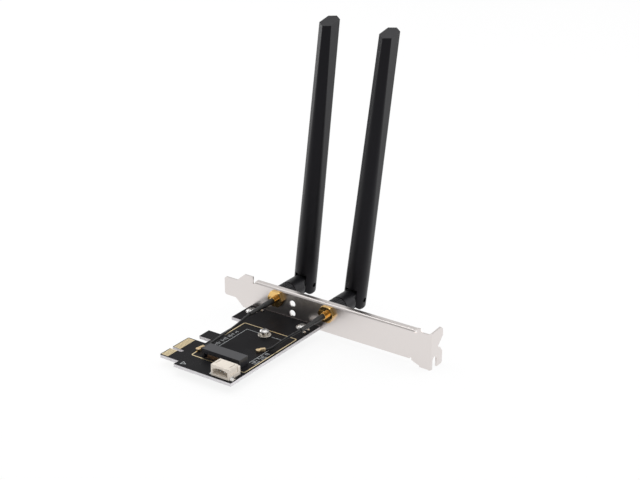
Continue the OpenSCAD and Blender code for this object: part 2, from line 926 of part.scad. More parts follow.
// Internal-tooth lock washer
module washer(i) {
    at_jack(i)
        difference() {
            rod(washer_d, plate_out, plate_out + washer_t);
            rod(thread_d + 0.1, plate_out - over, plate_out + washer_t + over);
            for (k = [0 : 9])
                rotate([0, 36 * k, 0])
                    translate([thread_d / 2 - 0.1, plate_out - over, -0.3])
                        cube([0.4, washer_t + 2 * over, 0.6]);
        }
}

module jack_washers() {
    color([0.85, 0.68, 0.35])
        for (i = [0, 1])
            washer(i);
}

module jack_nuts() {
    color([0.85, 0.66, 0.3])
        for (i = [0, 1])
            at_jack(i)
                difference() {
                    hexagon(nut_y, nut_y + nut_t);
                    rod(thread_d, nut_y - over, nut_y + nut_t + over);
                }
}

// Antenna plug: a contact ring in the jack's mouth, a flange, and the stem that carries the elbow
module antenna_plug(i) {
    color([0.85, 0.66, 0.3])
        at_jack(i)
            difference() {
                union() {
                    rod(mouth_d - 2 * running, thread_end - mouth_depth + 0.4, flange_y + 0.2);
                    rod(plug_flange_d, flange_y, flange_y + plug_flange_t);
                    rod(stem_d, flange_y + 0.4, stem_end);
                    rod(bead_d, stem_end - 1.6, stem_end - 0.6);
                }
                rod(3, thread_end - mouth_depth, stem_end + over);
            }
}

module plug_insulator(i) {
    color([0.93, 0.93, 0.9])
        at_jack(i)
            difference() {
                rod(3, flange_y, stem_end);
                rod(0.9, flange_y - over, stem_end + over);
            }
}

module plug_pin(i) {
    color([0.88, 0.7, 0.3])
        at_jack(i)
            rod(0.9, thread_end - mouth_depth - 2.2, stem_end);
}

// Coupling nut: runs on the jack's thread and holds the plug by the lip behind its flange
module coupling_nut(i) {
    color([0.85, 0.66, 0.3])
        at_jack(i)
            difference() {
                rod(hex_w, collar_y + 0.2, collar_end);
                rod(thread_d + 2 * running, collar_y - over, lip_y);
                rod(stem_d + 2 * running, collar_y, collar_end + over);
            }
}

// Ribbed collar pressed over the coupling nut
module collar(i) {
    depth = 0.22;
    ribs = [for (k = [0 : 2 * rib_count - 1])
        let (
            angle = k * 180 / rib_count,
            r = elbow_d / 2 - depth * (k % 2)
        )
        [r * cos(angle), r * sin(angle)]];
    color([0.13, 0.13, 0.14])
        at_jack(i)
            difference() {
                translate([0, collar_y, 0])
                    rotate([-90, 0, 0])
                        linear_extrude(collar_end - collar_y)
                            polygon(ribs);
                rod(hex_w, collar_y - over, collar_end + over);
            }
}

// Elbow: a round barrel that turns on the stem, and a flat knuckle with the hinge bosses
module elbow(i) {
    r = elbow_d / 2;
    round_r = 1.8;
    color([0.14, 0.14, 0.15])
        at_elbow(i)
            difference() {
                union() {
                    translate([0, elbow_y, 0])
                        rotate([-90, 0, 0])
                            rotate_extrude()
                                union() {
                                    square([r, shoulder_y - elbow_y - round_r]);
                                    square([r - round_r, shoulder_y - elbow_y]);
                                    intersection() {
                                        translate([r - round_r, shoulder_y - elbow_y - round_r])
                                            circle(round_r);
                                        square([r, shoulder_y - elbow_y]);
                                    }
                                }
                    intersection() {
                        translate([-knuckle_w / 2, shoulder_y - 2.5, -r])
                            cube([knuckle_w, hinge_y - shoulder_y + 2.5 + r, 2 * r]);
                        union() {
                            rod(elbow_d, shoulder_y - 2.5, hinge_y);
                            translate([-knuckle_w, hinge_y, 0])
                                rotate([0, 90, 0])
                                    cylinder(d = elbow_d, h = 2 * knuckle_w);
                        }
                    }
                    translate([-boss_reach, hinge_y, 0])
                        rotate([0, 90, 0])
                            cylinder(d = boss_d, h = 2 * boss_reach);
                }
                rod(stem_d + 2 * running, elbow_y - over, stem_end + running);
                rod(bead_d + 2 * running, stem_end - 1.6 - running, stem_end - 0.6 + running);
                rod(feed_d + 0.7, stem_end - over, hinge_y);
            }
}

// Antenna blade: forked round base that flattens into a six-sided tip cut at a slant
module tip_shape(hx, hf, hr, h) {
    linear_extrude(h)
        polygon([[hx, -hf], [hx, hf], [0, hr], [-hx, hf], [-hx, -hf], [0, -hr]]);
}

module blade(i) {
    rise = tip_r * tan(tip_slant);
    cut_z = blade_len - rise;
    cap = 0.5;
    foot_z = blade_d / 2 + running - cheek_r;
    color([0.14, 0.14, 0.15])
        at_hinge(i)
            difference() {
                union() {
                    intersection() {
                        translate([0, 0, -cheek_r])
                            rotate_extrude()
                                union() {
                                    translate([0, foot_r])
                                        square([blade_d / 2, cheek_r + base_h - foot_r]);
                                    square([blade_d / 2 - foot_r, foot_r + over]);
                                    intersection() {
                                        translate([blade_d / 2 - foot_r, foot_r])
                                            circle(foot_r);
                                        square([blade_d / 2, foot_r + over]);
                                    }
                                }
                        union() {
                            translate([-blade_d, 0, foot_z])
                                rotate([0, 90, 0])
                                    cylinder(r = foot_z + cheek_r, h = 2 * blade_d);
                            translate([-blade_d, -blade_d, foot_z])
                                cube([2 * blade_d, 2 * blade_d, 2 * base_h]);
                        }
                    }
                    hull() {
                        translate([0, 0, base_h - cap])
                            cylinder(d = blade_d, h = cap);
                        translate([0, 0, blade_len - cap])
                            tip_shape(tip_t / 2, tip_flat / 2, tip_r, cap);
                    }
                }
                translate([-slot_w / 2, -blade_d, -blade_d])
                    cube([slot_w, 2 * blade_d, blade_d + slot_top]);
                translate([-blade_d, 0, 0])
                    rotate([0, 90, 0])
                        cylinder(d = boss_d + 2 * running, h = 2 * blade_d);
                translate([0, 0, slot_top - over])
                    cylinder(d = feed_d + 0.5, h = base_h);
                hull() {
                    translate([0, 0, slot_top + blade_wall])
                        cylinder(d = blade_d - 2 * blade_wall - slot_w * 0.2, h = cap);
                    translate([0, 0, cut_z - rise - 3])
                        tip_shape(tip_t / 2 - blade_wall, tip_flat / 2 - 0.6, tip_r - 2 * blade_wall, cap);
                }
                translate([-blade_d, 0, cut_z])
                    rotate([tip_slant, 0, 0])
                        translate([0, -2 * blade_d, 0])
                            cube([2 * blade_d, 4 * blade_d, blade_d]);
            }
}

// Printed radiator strip inside the blade, on the end of the feed lead
module radiator(i) {
    color([0.35, 0.5, 0.3])
        at_hinge(i)
            translate([-radiator_t / 2, -radiator_w / 2, radiator_z])
                cube([radiator_t, radiator_w, radiator_l]);
}

module feed(i) {
    color([0.2, 0.2, 0.22])
        at_hinge(i)
            translate([0, 0, slot_top + 0.2])
                cylinder(d = feed_d, h = radiator_z - slot_top - 0.2);
}

pcb();
edge_contacts();
ground_trace();
board_print();
screw_lands();
bracket();
board_screws();
m2_socket();
m2_socket_contacts();
m2_standoff();
m2_screw();
cable_header();
header_pins();
header_tabs();
chip_capacitors();
jack(0);  // left_jack
jack_insulator(0);  // left_jack_insulator
jack_contact(0);  // left_jack_contact
shrink(0);  // left_shrink
lead(left_route);  // left_coax
micro_plug(left_route);  // left_micro_plug
jack(1);  // right_jack
jack_insulator(1);  // right_jack_insulator
jack_contact(1);  // right_jack_contact
shrink(1);  // right_shrink
lead(right_route);  // right_coax
micro_plug(right_route);  // right_micro_plug
jack_washers();
jack_nuts();
antenna_plug(0);  // left_plug
plug_insulator(0);  // left_plug_insulator
plug_pin(0);  // left_plug_pin
coupling_nut(0);  // left_coupling_nut
collar(0);  // left_collar
elbow(0);  // left_elbow
blade(0);  // left_blade
radiator(0);  // left_radiator
feed(0);  // left_feed
antenna_plug(1);  // right_plug
plug_insulator(1);  // right_plug_insulator
plug_pin(1);  // right_plug_pin
coupling_nut(1);  // right_coupling_nut
collar(1);  // right_collar
elbow(1);  // right_elbow
blade(1);  // right_blade
radiator(1);  // right_radiator
feed(1);  // right_feed
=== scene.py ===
import json
import math

import bmesh
import bpy
from bpy.props import FloatProperty, FloatVectorProperty, IntProperty, PointerProperty
from mathutils import Matrix, Vector

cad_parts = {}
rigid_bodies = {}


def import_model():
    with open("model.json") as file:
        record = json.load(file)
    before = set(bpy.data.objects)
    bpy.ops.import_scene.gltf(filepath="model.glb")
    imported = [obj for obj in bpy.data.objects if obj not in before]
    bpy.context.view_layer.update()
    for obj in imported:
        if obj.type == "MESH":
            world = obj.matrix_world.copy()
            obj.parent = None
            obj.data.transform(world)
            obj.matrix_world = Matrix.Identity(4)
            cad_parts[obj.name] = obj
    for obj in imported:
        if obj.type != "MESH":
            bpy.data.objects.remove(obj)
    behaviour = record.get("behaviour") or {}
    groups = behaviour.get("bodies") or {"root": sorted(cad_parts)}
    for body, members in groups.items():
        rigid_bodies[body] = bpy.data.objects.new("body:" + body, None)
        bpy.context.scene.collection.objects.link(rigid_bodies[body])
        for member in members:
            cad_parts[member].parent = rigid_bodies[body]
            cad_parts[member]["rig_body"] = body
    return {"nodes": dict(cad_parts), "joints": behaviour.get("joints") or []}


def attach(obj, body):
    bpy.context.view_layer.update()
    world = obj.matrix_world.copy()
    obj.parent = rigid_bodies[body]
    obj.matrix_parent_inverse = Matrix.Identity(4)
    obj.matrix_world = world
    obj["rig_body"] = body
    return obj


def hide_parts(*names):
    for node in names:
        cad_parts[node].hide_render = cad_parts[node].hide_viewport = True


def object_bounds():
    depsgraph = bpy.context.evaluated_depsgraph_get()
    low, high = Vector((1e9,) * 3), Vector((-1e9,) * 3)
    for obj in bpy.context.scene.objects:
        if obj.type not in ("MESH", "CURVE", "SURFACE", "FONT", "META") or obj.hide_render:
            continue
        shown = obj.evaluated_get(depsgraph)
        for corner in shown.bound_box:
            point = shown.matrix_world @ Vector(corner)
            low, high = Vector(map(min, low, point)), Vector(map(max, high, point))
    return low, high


bl_info = {
    "name": "Wireless Card",
    "version": (1, 0, 0),
    "blender": (4, 5, 0),
    "location": "3D View > Sidebar > Wireless Card",
    "description": "Dresses an expansion card with a module socket and two folding antennas",
    "category": "Object",
}

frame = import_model()
CAD_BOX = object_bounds()
SIDES = ("left", "right")

# Width of the camera's sensor in millimetres
SENSOR_WIDTH = 36

# Points nearer to each other than this are one point
SAME_POINT = 0.000002
# Edges that bend less than this many degrees are part of a flat face, and those over the second are sharp
FLAT_ANGLE = 0.6
SHARP_ANGLE = 38
# How far a cutter reaches past what it cuts
OVERRUN = 0.0001
# Gap between the floor and the card's lowest point
FLOOR_GAP = 0.00002

# Rings of a blade's mesh in its rounded foot and along its loft, and points round its fork's end
FOOT_RINGS = 6
LOFT_RINGS = 12
END_STEPS = 32

# Share of a blade's depth that its hollow takes up at the tip
HOLLOW_DEPTH = 0.7
# Rounding of a blade's fork and tip, and how near to the slanted plane the tip's rim lies
BLADE_EDGE = 0.0002
RIM_BAND = 0.00001

# Share of a chip's length that each tinned end takes up, share of an end before the ceramic begins
# inside it, and how far the ceramic lies inside the tin
CHIP_END = 0.25
CHIP_COVER = 0.8
CHIP_INSET = 0.00004

# Rows of printed dashes: x of the row, y of its first dash, and places in it
DASH_ROWS = ((0.0152, 0.014, 17), (0.0408, 0.009, 12), (0.0423, 0.009, 9))
DASH_PITCH = 0.00105
DASH_HALF_WIDTH = 0.00016
# Half the length of the shortest dash, and the step to the next longer one
DASH_REACH = 0.0005
DASH_STEP = 0.0003
# A gap follows each word of four dashes
DASH_WORD = 5
INK_DEPTH = 0.00002
INK_HEIGHT = 0.00003

# How far the mask's colour reaches down the board's cut edges
MASK_DEPTH = 0.00005
# Level of the noise above which tracks run, and level of the wave above which a track is raised
TRACK_FIELD = 0.52
TRACK_LEVEL = 0.45

# Soft boxes: place, target, side in metres and power in watts
LAMPS = {
    "overhead": ((0.08, 0.12, 0.75), (0.05, 0.04, 0), 0.9, 3.2),
    "left_box": ((-0.75, 0.2, 0.25), (0.03, 0.08, 0.08), 0.6, 2.6),
    "right_box": ((0.62, 0.72, 0.25), (0.05, 0.08, 0.08), 0.7, 2.4),
}
# Cosine of the angle from the studio's dark side within which it is at its darkest
DARK_CORE = 0.8

# Routes of the two leads, from the ferrules inside the sleeves to the micro plugs
ROUTES = {
    "left": [
        (0.0186, 0.049, 0.0088), (0.0186, 0.0464, 0.0088), (0.0186, 0.0438, 0.0088),
        (0.0186, 0.0412, 0.0088), (0.0186, 0.0386, 0.0088), (0.0186, 0.036, 0.0088),
        (0.0184, 0.0336, 0.0083), (0.018, 0.031, 0.0074), (0.0174, 0.028, 0.0063),
        (0.017, 0.026, 0.0057), (0.0166, 0.024, 0.0051), (0.0158, 0.02, 0.0041),
        (0.015, 0.016, 0.0031), (0.0142, 0.0124, 0.0022), (0.0136, 0.0098, 0.0016),
        (0.0132, 0.008, 0.0016),
    ],
    "right": [
        (0.0486, 0.049, 0.0088), (0.0486, 0.0464, 0.0088), (0.0486, 0.0438, 0.0088),
        (0.0486, 0.0412, 0.0088), (0.0486, 0.0386, 0.0088), (0.0486, 0.036, 0.0088),
        (0.0482, 0.0349, 0.0086), (0.0474, 0.0334, 0.0081), (0.0464, 0.0318, 0.0073),
        (0.0448, 0.0298, 0.006), (0.0432, 0.0278, 0.0046), (0.0418, 0.0262, 0.0032),
        (0.0406, 0.0248, 0.0021), (0.0396, 0.0236, 0.0016), (0.0384, 0.0222, 0.0016),
    ],
}


def length_of(name, text, default):
    """A size in metres that the user may change."""
    return FloatProperty(name=name, description=text, default=default, min=0, unit="LENGTH", precision=5)


def angle_of(name, text, degrees):
    """An angle that the user may change."""
    return FloatProperty(name=name, description=text, default=math.radians(degrees), unit="ROTATION")


def color_of(name, text, default):
    """A colour that the user may change."""
    return FloatVectorProperty(name=name, description=text, default=default, size=3, min=0, max=1,
                               subtype="COLOR")


def share_of(name, text, default):
    """A share from 0 to 1 that the user may change."""
    return FloatProperty(name=name, description=text, default=default, min=0, max=1, subtype="FACTOR")


class WIRELESSCARD_PG_stage(bpy.types.PropertyGroup):
    """The camera, the floor and the studio's light"""
    azimuth: angle_of("Azimuth", "Angle of the camera round the card", 34.83)
    elevation: angle_of("Elevation", "Angle of the camera over the floor", 23.36)
    roll: angle_of("Roll", "Turn of the camera about its own axis", 0.14)
    focal_length: FloatProperty(name="Focal length", default=90.24, min=20, unit="CAMERA",
                                description="Focal length of the camera in millimetres")
    camera_x: length_of("Camera X", "Place of the camera up the card", 0.43997)
    camera_back: length_of("Camera back", "Distance of the camera in front of the key notch", 0.51058)
    camera_z: length_of("Camera height", "Height of the camera over the board", 0.34529)
    floor_size: length_of("Floor", "Side of the floor", 6)
    floor_color: color_of("Floor colour", "Colour of the floor", (0.94, 0.94, 0.945))
    floor_white: share_of("Floor white", "Share of plain white in the floor as it is seen", 0.87)
    sky: share_of("Sky", "Strength of the studio's even light", 0.62)
    sky_seen: share_of("Sky seen", "Strength of the studio's pale side as it is seen in gloss", 0.72)
    sky_behind: share_of("Sky behind", "Strength of the studio's dark side as it is seen in gloss", 0.22)


class WIRELESSCARD_PG_leads(bpy.types.PropertyGroup):
    """The coaxial leads and their sleeves"""
    coax_diameter: length_of("Lead", "Diameter of a coaxial lead", 0.00113)
    left_length: length_of("Left length", "Length of the left lead", 0.0425)
    right_length: length_of("Right length", "Length of the right lead", 0.032)
    jacket: color_of("Jacket", "Colour of the leads", (0.008, 0.008, 0.009))
    sleeve: color_of("Sleeve", "Colour of the shrink sleeves", (0.007, 0.0066, 0.0066))


class WIRELESSCARD_PG_board(bpy.types.PropertyGroup):
    """The board and its print"""
    thickness: length_of("Thickness", "Thickness of the board", 0.00157)
    mask: color_of("Solder mask", "Colour of the solder mask", (0.008, 0.0078, 0.009))
    laminate: color_of("Laminate", "Colour of the cut edge", (0.74, 0.72, 0.74))
    legend: color_of("Print", "Colour of the printed lines", (0.5, 0.52, 0.53))
    trace_pitch: length_of("Trace pitch", "Spacing of the tracks under the mask", 0.0006)


class WIRELESSCARD_PG_metal(bpy.types.PropertyGroup):
    """The metals and their plating"""
    nickel: color_of("Nickel", "Colour of the bracket", (0.75, 0.705, 0.685))
    gold: color_of("Gold", "Colour of the plated jacks", (0.82, 0.53, 0.2))
    pale_gold: color_of("Pale gold", "Colour of the contacts", (0.98, 0.8, 0.5))
    tin: color_of("Tin", "Colour of tinned parts", (0.66, 0.655, 0.64))
    steel: color_of("Screw steel", "Colour of the screws", (0.52, 0.51, 0.5))
    standoff: color_of("Standoff", "Colour of the standoff", (0.66, 0.62, 0.56))
    micro_plug: color_of("Micro plugs", "Colour of the micro plugs", (0.8, 0.62, 0.38))
    spring: color_of("Springs", "Colour of the module socket's contacts", (0.6, 0.45, 0.33))
    copper: color_of("Copper", "Colour of the strip on a radiator", (0.6, 0.3, 0.16))
    sheet_edge: length_of("Sheet edge", "Rounding of the sheet's edges", 0.00009)


class WIRELESSCARD_PG_plastic(bpy.types.PropertyGroup):
    """The mouldings, the insulators and the chips"""
    socket: color_of("Socket", "Colour of the module socket", (0.024, 0.024, 0.028))
    nylon: color_of("Header", "Colour of the cable header", (0.72, 0.655, 0.575))
    antenna: color_of("Antenna", "Colour of the antennas", (0.0045, 0.0045, 0.0055))
    insulator: color_of("Insulator", "Colour of the jacks' insulators", (0.86, 0.86, 0.82))
    ceramic: color_of("Chip", "Colour of the chips", (0.42, 0.32, 0.22))
    radiator: color_of("Radiator", "Colour of the radiators' laminate", (0.05, 0.16, 0.07))


class WIRELESSCARD_PG_antenna(bpy.types.PropertyGroup):
    """The sizes of a blade"""
    blade_length: length_of("Blade", "Length from the hinge to the tip", 0.138)
    blade_diameter: length_of("Blade diameter", "Diameter of a blade at its hinge", 0.0113)
    base_length: length_of("Base", "Length of the round base over the hinge", 0.012)
    tip_thickness: length_of("Tip thickness", "Thickness of a blade at its tip", 0.0064)
    tip_side: length_of("Tip side", "Width of the flat sides at the tip", 0.0072)
    tip_slant: angle_of("Tip slant", "Slant of the tip", 12)
    fork_reach: length_of("Fork reach", "Reach of the fork below the hinge", 0.0052)
    foot_rounding: length_of("Foot rounding", "Rounding of the fork's lower rim", 0.0016)
    slot_width: length_of("Slot", "Width of the fork's slot", 0.0066)
    slot_top: length_of("Slot top", "Height of the slot over the hinge", 0.006)
    boss_hole: length_of("Boss hole", "Diameter of the hinge holes", 0.0025)
    wall: length_of("Wall", "Thickness of the blade's wall", 0.0015)
    corner: share_of("Corner", "Share of the round form left at the tip", 0.045)
    arc_steps: IntProperty(name="Arc steps", description="Points on each rounded corner", default=9, min=2)


GROUPS = {
    "card_stage": WIRELESSCARD_PG_stage,
    "card_leads": WIRELESSCARD_PG_leads,
    "card_board": WIRELESSCARD_PG_board,
    "card_metal": WIRELESSCARD_PG_metal,
    "card_plastic": WIRELESSCARD_PG_plastic,
    "card_antenna": WIRELESSCARD_PG_antenna,
}


def add_node(finish, kind, **inputs):
    """A node of a finish or the world, with its named sockets set. Underscores stand for spaces."""
    made = finish.node_tree.nodes.new(kind)
    for name, value in inputs.items():
        made.inputs[name.replace("_", " ")].default_value = value
    return made


def join(finish, source, target):
    """Links one socket to another."""
    finish.node_tree.links.new(source, target)


def shader_of(finish):
    """The shader that a finish's colour, gloss and relief go into."""
    return finish.node_tree.nodes["Principled BSDF"]


def new_finish(name, color, roughness, metallic=0.0, gloss=0.5):
    """A finish whose plain numbers stand on the shader's own sockets."""
    finish = bpy.data.materials.new(name)
    finish.use_nodes = True
    finish.diffuse_color = (*color, 1)
    sockets = shader_of(finish).inputs
    sockets["Base Color"].default_value = (*color, 1)
    sockets["Roughness"].default_value = roughness
    sockets["Metallic"].default_value = metallic
    sockets["Specular IOR Level"].default_value = gloss
    return finish


def place_in_object(finish, stretch=(1, 1, 1)):
    """The point on the object, stretched along its axes."""
    coords = add_node(finish, "ShaderNodeTexCoord")
    mapping = add_node(finish, "ShaderNodeMapping", Scale=stretch)
    join(finish, coords.outputs["Object"], mapping.inputs["Vector"])
    return mapping.outputs["Vector"]


def grain(finish, size, stretch=(1, 1, 1), detail=3.0):
    """Noise with features of a size in metres."""
    noise = add_node(finish, "ShaderNodeTexNoise", Scale=1 / size, Detail=detail)
    join(finish, place_in_object(finish, stretch), noise.inputs["Vector"])
    return noise.outputs["Fac"]


def arithmetic(finish, operation, first, second=None):
    """A Math node of sockets and numbers."""
    made = add_node(finish, "ShaderNodeMath")
    made.operation = operation
    for slot, value in enumerate((first, second)):
        if isinstance(value, bpy.types.NodeSocket):
            join(finish, value, made.inputs[slot])
        elif value is not None:
            made.inputs[slot].default_value = value
    return made.outputs[0]


def between(finish, factor, low, high, start=0.0, end=1.0):
    """Spreads a factor between start and end over low to high."""
    made = add_node(finish, "ShaderNodeMapRange")
    for slot, value in enumerate((factor, start, end, low, high)):
        if isinstance(value, bpy.types.NodeSocket):
            join(finish, value, made.inputs[slot])
        else:
            made.inputs[slot].default_value = value
    return made.outputs[0]


def blend_colors(finish, factor, first, second):
    """A colour between two, by a factor."""
    made = add_node(finish, "ShaderNodeMix")
    made.data_type = "RGBA"
    sockets = [s for s in made.inputs if s.type == "RGBA"]
    join(finish, factor, made.inputs[0])
    for socket, value in zip(sockets, (first, second)):
        if isinstance(value, bpy.types.NodeSocket):
            join(finish, value, socket)
        else:
            socket.default_value = (*value, 1)
    return next(s for s in made.outputs if s.type == "RGBA")


def set_color(finish, color):
    """Lets a colour socket set a finish's colour."""
    join(finish, color, shader_of(finish).inputs["Base Color"])


def set_roughness(finish, factor, low, high):
    """Spreads a finish's roughness between two values by a factor."""
    join(finish, between(finish, factor, low, high), shader_of(finish).inputs["Roughness"])


def raise_surface(finish, height, depth):
    """Bump from a height of 0 to 1, with its full depth in metres."""
    bump = add_node(finish, "ShaderNodeBump", Strength=1, Distance=depth)
    join(finish, height, bump.inputs["Height"])
    join(finish, bump.outputs["Normal"], shader_of(finish).inputs["Normal"])


def shade(color, factor):
    """A colour made lighter or darker."""
    return tuple(min(1, c * factor) for c in color)


def moulded_finish(name, color, roughness, size, depth, gloss=0.5):
    """Moulded plastic: fine grain, with a faint drift of colour and gloss."""
    finish = new_finish(name, color, roughness, gloss=gloss)
    drift = grain(finish, 0.012)
    set_color(finish, blend_colors(finish, drift, shade(color, 0.86), shade(color, 1.14)))
    set_roughness(finish, drift, roughness - 0.05, roughness + 0.05)
    raise_surface(finish, grain(finish, size, detail=4), depth)
    return finish


def plated_finish(name, color, roughness, streak=(1, 1, 1), size=0.004, depth=0.0000006):
    """Plated metal: smooth, with streaks along one way and faint pits."""
    finish = new_finish(name, color, roughness, metallic=1)
    wear = grain(finish, size, streak)
    set_color(finish, blend_colors(finish, wear, shade(color, 0.95), shade(color, 1.05)))
    set_roughness(finish, grain(finish, size / 8, streak), roughness - 0.03, roughness + 0.04)
    raise_surface(finish, grain(finish, size / 14, streak), depth)
    return finish


def antenna_finish(plastic):
    """Satin black plastic that stays dark face on and pales toward its edges."""
    finish = moulded_finish("antenna_plastic", plastic.antenna, 0.42, size=0.00022, depth=0.00001)
    sockets = shader_of(finish).inputs
    sockets["Specular Tint"].default_value = (0.3, 0.29, 0.32, 1)
    sockets["Sheen Weight"].default_value = 0.1
    sockets["Sheen Roughness"].default_value = 0.35
    return finish


def sheet_finish(metal):
    """Dull nickel on rolled sheet: a slow drift of colour and gloss, and the faintest grain."""
    finish = new_finish("bracket_nickel", metal.nickel, 0.28, metallic=1)
    drift = grain(finish, 0.03, (0.4, 1, 1), 2)
    set_color(finish, blend_colors(finish, drift, shade(metal.nickel, 0.96), shade(metal.nickel, 1.04)))
    set_roughness(finish, drift, 0.26, 0.3)
    raise_surface(finish, grain(finish, 0.00035, (0.3, 1, 1), 2), 0.00000012)
    return finish


def board_finish(board):
    """Solder mask with tracks under it, over pale laminate that shows at the cut edges."""
    finish = new_finish("board_mask", board.mask, 0.42, gloss=0.06)
    split = add_node(finish, "ShaderNodeSeparateXYZ")
    join(finish, place_in_object(finish), split.inputs[0])
    height = arithmetic(finish, "ABSOLUTE", split.outputs["Z"])
    face = arithmetic(finish, "GREATER_THAN", height, board.thickness / 2 - MASK_DEPTH)
    # At a scale of 1 the wave repeats every pi / 10
    wave = add_node(finish, "ShaderNodeTexWave", Scale=math.pi / 10 / board.trace_pitch)
    wave.bands_direction = "X"
    join(finish, place_in_object(finish), wave.inputs["Vector"])
    field = arithmetic(finish, "GREATER_THAN", grain(finish, 0.011, (1, 0.45, 1), 1), TRACK_FIELD)
    track = arithmetic(finish, "GREATER_THAN", wave.outputs["Fac"], TRACK_LEVEL)
    relief = arithmetic(finish, "MULTIPLY", field, track)
    relief = arithmetic(finish, "MULTIPLY", relief, face)
    fibre = grain(finish, 0.0003, (1, 1, 4))
    edge = blend_colors(finish, fibre, shade(board.laminate, 0.8), shade(board.laminate, 1.2))
    mask = blend_colors(finish, relief, board.mask, shade(board.mask, 1.25))
    set_color(finish, blend_colors(finish, face, edge, mask))
    set_roughness(finish, face, 0.7, 0.4)
    raise_surface(finish, relief, 0.000018)
    return finish


def print_finish(board):
    """Screen print with slightly broken ink."""
    finish = new_finish("legend_ink", board.legend, 0.6)
    ink = between(finish, grain(finish, 0.00025), 0, 1, 0.36, 0.5)
    set_color(finish, blend_colors(finish, ink, shade(board.legend, 0.45), board.legend))
    raise_surface(finish, ink, 0.000006)
    return finish


def sleeve_finish(leads):
    """Heat-shrunk sleeve with faint rings and a soft gloss."""
    finish = new_finish("shrink_sleeve", leads.sleeve, 0.45)
    rings = grain(finish, 0.0012, (0.2, 2.4, 0.2))
    set_roughness(finish, rings, 0.36, 0.56)
    raise_surface(finish, rings, 0.00005)
    return finish


def contact_finish(metal):
    """Plated contacts with fine insertion scratches up the card."""
    return plated_finish("contact_gold", metal.pale_gold, 0.3, streak=(0.2, 1.6, 1), size=0.0025,
                         depth=0.0000002)


def radiator_finish(plastic, metal):
    """Green laminate with a copper strip pattern."""
    finish = new_finish("radiator_laminate", plastic.radiator, 0.4)
    strip = add_node(finish, "ShaderNodeTexWave", Scale=40)
    strip.bands_direction = "Z"
    join(finish, place_in_object(finish), strip.inputs["Vector"])
    copper = arithmetic(finish, "GREATER_THAN", strip.outputs["Fac"], 0.4)
    set_color(finish, blend_colors(finish, copper, plastic.radiator, metal.copper))
    return finish


def make_finishes(scene):
    """Every finish, by the name that the pieces use."""
    metal, plastic, board, leads = scene.card_metal, scene.card_plastic, scene.card_board, scene.card_leads
    return {
        "mask": board_finish(board),
        "legend": print_finish(board),
        "contact": contact_finish(metal),
        "gold": plated_finish("jack_gold", metal.gold, 0.12, depth=0.0000002),
        "nickel": sheet_finish(metal),
        "micro_plug": plated_finish("micro_plug_gold", metal.micro_plug, 0.28, size=0.001),
        "tin": plated_finish("tin_solder", metal.tin, 0.32, size=0.002),
        "steel": plated_finish("screw_nickel", metal.steel, 0.24, size=0.002),
        "standoff": plated_finish("standoff_nickel", metal.standoff, 0.24, size=0.002),
        "spring": plated_finish("spring_contact", metal.spring, 0.34, size=0.001),
        "socket": moulded_finish("socket_plastic", plastic.socket, 0.3, size=0.0002, depth=0.000006,
                                 gloss=0.6),
        "nylon": moulded_finish("header_nylon", plastic.nylon, 0.42, size=0.0004, depth=0.00001),
        "antenna": antenna_finish(plastic),
        "insulator": moulded_finish("white_insulator", plastic.insulator, 0.4, size=0.0004, depth=0.000005),
        "ceramic": moulded_finish("chip_ceramic", plastic.ceramic, 0.5, size=0.0003, depth=0.000008),
        "jacket": moulded_finish("lead_jacket", leads.jacket, 0.36, size=0.0003, depth=0.000006, gloss=0.3),
        "sleeve": sleeve_finish(leads),
        "radiator": radiator_finish(plastic, metal),
    }


FINISHES = {}


def finish_named(name):
    """A finish, made with the others when the first is asked for."""
    if not FINISHES:
        FINISHES.update(make_finishes(bpy.context.scene))
    return FINISHES[name]


def keep_faces_flat(piece):
    """Lets a piece's large faces rule the shading over its rounded edges."""
    shading = piece.modifiers.new("flat_faces", "WEIGHTED_NORMAL")
    shading.keep_sharp = True


def piece_from(name, form, body, finish, sharp=35, replaces=()):
    """Makes a piece of a bmesh that is already in the row frame, and frees the bmesh."""
    bmesh.ops.recalc_face_normals(form, faces=form.faces)
    mesh = bpy.data.meshes.new(name)
    form.to_mesh(mesh)
    form.free()
    mesh.shade_smooth()
    mesh.set_sharp_from_angle(angle=math.radians(sharp))
    mesh.materials.append(finish_named(finish))
    piece = bpy.data.objects.new(name, mesh)
    bpy.context.scene.collection.objects.link(piece)
    keep_faces_flat(piece)
    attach(piece, body)
    if replaces:
        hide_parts(*replaces)
    return piece


def is_sharp(edge):
    """Whether two faces meet sharply at an edge."""
    return edge.is_manifold and edge.calc_face_angle(0) > math.radians(SHARP_ANGLE)


def round_edges(form, edges, width, steps=2):
    """Rounds some edges of a form."""
    bmesh.ops.bevel(form, geom=edges, offset=width, offset_type="OFFSET", segments=steps, profile=0.5,
                    affect="EDGES", clamp_overlap=True)


def soften(form, width, steps=2):
    """Rounds every sharp edge of a form."""
    round_edges(form, [edge for edge in form.edges if is_sharp(edge)], width, steps)


def dress_node(node, name, finish, edge=0.0, sharp=35):
    """A piece with a CAD node's own form, its flat faces whole again and its edges rounded."""
    source = frame["nodes"][node]
    form = bmesh.new()
    form.from_mesh(source.data)
    bmesh.ops.remove_doubles(form, verts=form.verts, dist=SAME_POINT)
    bmesh.ops.dissolve_limit(form, angle_limit=math.radians(FLAT_ANGLE), verts=form.verts, edges=form.edges)
    if edge:
        soften(form, edge)
    return piece_from(name, form, source["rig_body"], finish, sharp, (node,))


